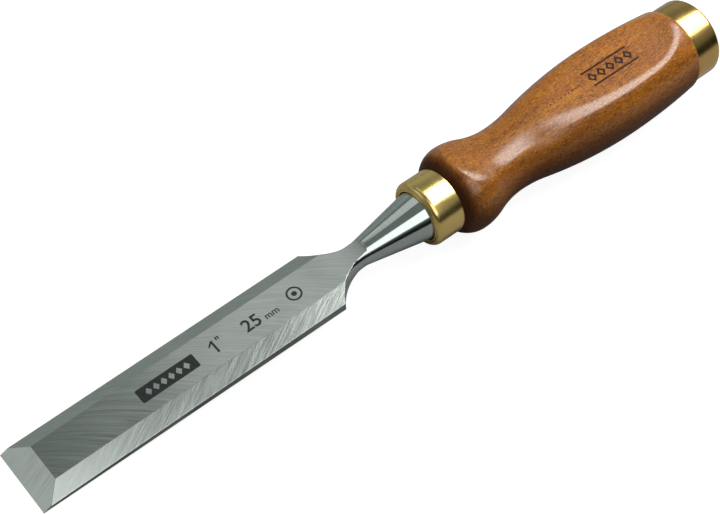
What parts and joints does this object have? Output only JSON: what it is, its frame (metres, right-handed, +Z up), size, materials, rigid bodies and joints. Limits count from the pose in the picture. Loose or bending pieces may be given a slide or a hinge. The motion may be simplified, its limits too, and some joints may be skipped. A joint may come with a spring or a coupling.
{
  "type": "bench chisel",
  "caption": "Bevel-edged bench chisel: steel blade with conical bolster, stained beech handle, brass ferrule and brass hoop.",
  "frame": {"origin": "middle of the cutting edge, on the flat back of the blade", "axes": "+X along the tool from the cutting edge to the struck end, +Z up out of the bevelled side, +Y across the blade; the flat back lies in the plane z = 0"},
  "size_m": [0.287, 0.0354, 0.0326],
  "materials": {
    "ground_steel": "ground, with a polished bolster",
    "satin_brass": "satin, turned",
    "stained_beech": "stained and varnished"
  },
  "bodies": {
    "root": {"blade": "ground_steel", "front_ferrule": "satin_brass", "handle": "stained_beech", "end_hoop": "satin_brass"}
  },
  "joints": []
}
